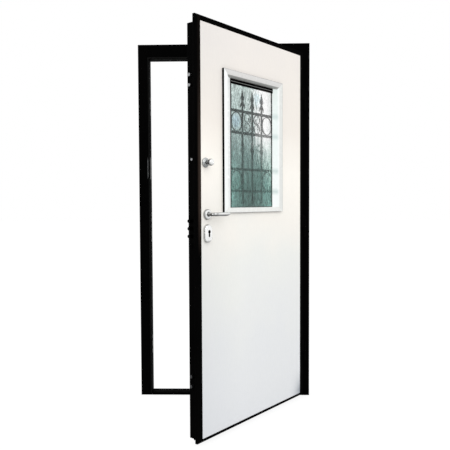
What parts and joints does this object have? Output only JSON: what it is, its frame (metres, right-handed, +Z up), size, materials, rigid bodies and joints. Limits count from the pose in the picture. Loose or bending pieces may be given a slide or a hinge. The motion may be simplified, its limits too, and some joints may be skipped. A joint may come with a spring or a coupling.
{
  "type": "armoured glazed door",
  "caption": "Black steel framed security door, pale leaf hung on side hinges, with a grilled glass window, lever handle, thumb turn and round lock bolts; it swings open.",
  "frame": {"origin": "middle of the frame's footprint on the floor, on the underside of the threshold", "axes": "+Z up, -Y towards the room the leaf opens into, +X towards the hinge side"},
  "size_m": [1, 0.8051, 2.07],
  "materials": {
    "black_steel": "satin powder coat",
    "pale_panel": "satin laminate",
    "street_panel": "satin laminate",
    "white_casing": "gloss",
    "bare_steel": "zinc plated",
    "satin_chrome": "satin",
    "bright_chrome": "polished",
    "dark_steel": "blackened",
    "wrought_iron": "hammered black",
    "seal_rubber": "matt",
    "cast_glass": "rain textured"
  },
  "bodies": {
    "frame": {"lock_jamb": "black_steel", "hinge_jamb": "black_steel", "frame_head": "black_steel", "threshold": "black_steel", "frame_gasket": "seal_rubber", "main_keep": "dark_steel", "upper_keep": "dark_steel", "lower_keep": "dark_steel", "limiter_keep": "dark_steel", "keep_screws": "bare_steel", "hinge_frame_halves": "black_steel", "hinge_pins": "bare_steel", "hinge_washers": "bare_steel"},
    "leaf": {"leaf_shell": "black_steel", "inner_sheet": "bare_steel", "stiffeners": "bare_steel", "lock_lip": "black_steel", "hinge_lip": "black_steel", "top_lip": "black_steel", "bottom_lip": "black_steel", "inner_panel": "pale_panel", "outer_panel": "street_panel", "bottom_seal": "seal_rubber", "hinge_leaf_halves": "black_steel", "window_liner": "black_steel", "inner_casing": "white_casing", "outer_casing": "white_casing", "glass_pane": "cast_glass", "glazing_gasket": "seal_rubber", "glazing_bar": "black_steel", "grille_sides": "wrought_iron", "grille_bars": "wrought_iron", "grille_rails": "wrought_iron", "spearheads": "wrought_iron", "bar_knops": "wrought_iron", "grille_rings": "wrought_iron", "grille_scrolls": "wrought_iron", "bar_balls": "wrought_iron", "lock_case": "bare_steel", "lock_forend": "dark_steel", "upper_bolt_case": "bare_steel", "lower_bolt_case": "bare_steel", "limiter_case": "bare_steel", "cylinder_body": "dark_steel", "inner_escutcheon": "satin_chrome", "outer_escutcheon": "satin_chrome", "lever_rosette": "satin_chrome", "limiter_rosette": "bright_chrome", "pull_knob": "satin_chrome"},
    "lever": {"lever": "satin_chrome"},
    "latch": {"latch_bolt": "dark_steel"},
    "main_bolts": {"main_bolts": "dark_steel"},
    "upper_bolts": {"upper_bolts": "bare_steel"},
    "lower_bolts": {"lower_bolts": "bare_steel"},
    "upper_rod": {"upper_rod": "bare_steel"},
    "lower_rod": {"lower_rod": "bare_steel"},
    "cylinder_plug": {"cylinder_plug": "satin_chrome"},
    "limiter_knob": {"limiter_knob": "bright_chrome"},
    "limiter_bolt": {"limiter_bolt": "bare_steel"}
  },
  "joints": [
    {"name": "leaf_hinge", "type": "hinge", "parent": "frame", "child": "leaf", "pos_m": [0.468, -0.052, 0], "axis": [0, 0, 1], "range_deg": [-51, 59]},
    {"name": "lever_turn", "type": "hinge", "parent": "leaf", "child": "lever", "pos_m": [-0.02681, -0.74249, 1.094], "axis": [-0.7771, 0.6293, 0], "range_deg": [0, 40], "stiffness_Nm_per_rad": 2, "springref_deg": -17.19},
    {"name": "latch_slide", "type": "slide", "parent": "leaf", "child": "latch", "axis": [0.6293, 0.7771, 0], "range_m": [0, 0.012]},
    {"name": "main_bolt_throw", "type": "slide", "parent": "leaf", "child": "main_bolts", "axis": [0.6293, 0.7771, 0], "range_m": [0, 0.022]},
    {"name": "upper_bolt_throw", "type": "slide", "parent": "leaf", "child": "upper_bolts", "axis": [0.6293, 0.7771, 0], "range_m": [0, 0.014]},
    {"name": "lower_bolt_throw", "type": "slide", "parent": "leaf", "child": "lower_bolts", "axis": [0.6293, 0.7771, 0], "range_m": [0, 0.014]},
    {"name": "upper_rod_slide", "type": "slide", "parent": "leaf", "child": "upper_rod", "axis": [0, 0, -1], "range_m": [0, 0.022]},
    {"name": "lower_rod_slide", "type": "slide", "parent": "leaf", "child": "lower_rod", "axis": [0, 0, 1], "range_m": [0, 0.022]},
    {"name": "plug_turn", "type": "hinge", "parent": "leaf", "child": "cylinder_plug", "pos_m": [-0.05945, -0.71605, 1.012], "axis": [-0.7771, 0.6293, 0], "range_deg": [0, 360]},
    {"name": "limiter_turn", "type": "hinge", "parent": "leaf", "child": "limiter_knob", "pos_m": [-0.06574, -0.72383, 1.336], "axis": [-0.7771, 0.6293, 0], "range_deg": [0, 90]},
    {"name": "limiter_throw", "type": "slide", "parent": "leaf", "child": "limiter_bolt", "axis": [-0.6293, -0.7771, 0], "range_m": [0, 0.02]}
  ],
  "couplings": [
    {"joint": "latch_slide", "follows": "lever_turn", "m_per_rad": 0.01718},
    {"joint": "upper_bolt_throw", "follows": "main_bolt_throw", "ratio": 0.63636},
    {"joint": "lower_bolt_throw", "follows": "main_bolt_throw", "ratio": 0.63636},
    {"joint": "upper_rod_slide", "follows": "main_bolt_throw", "ratio": 1},
    {"joint": "lower_rod_slide", "follows": "main_bolt_throw", "ratio": 1},
    {"joint": "plug_turn", "follows": "main_bolt_throw", "rad_per_m": 285},
    {"joint": "limiter_throw", "follows": "limiter_turn", "m_per_rad": 0.0127}
  ]
}
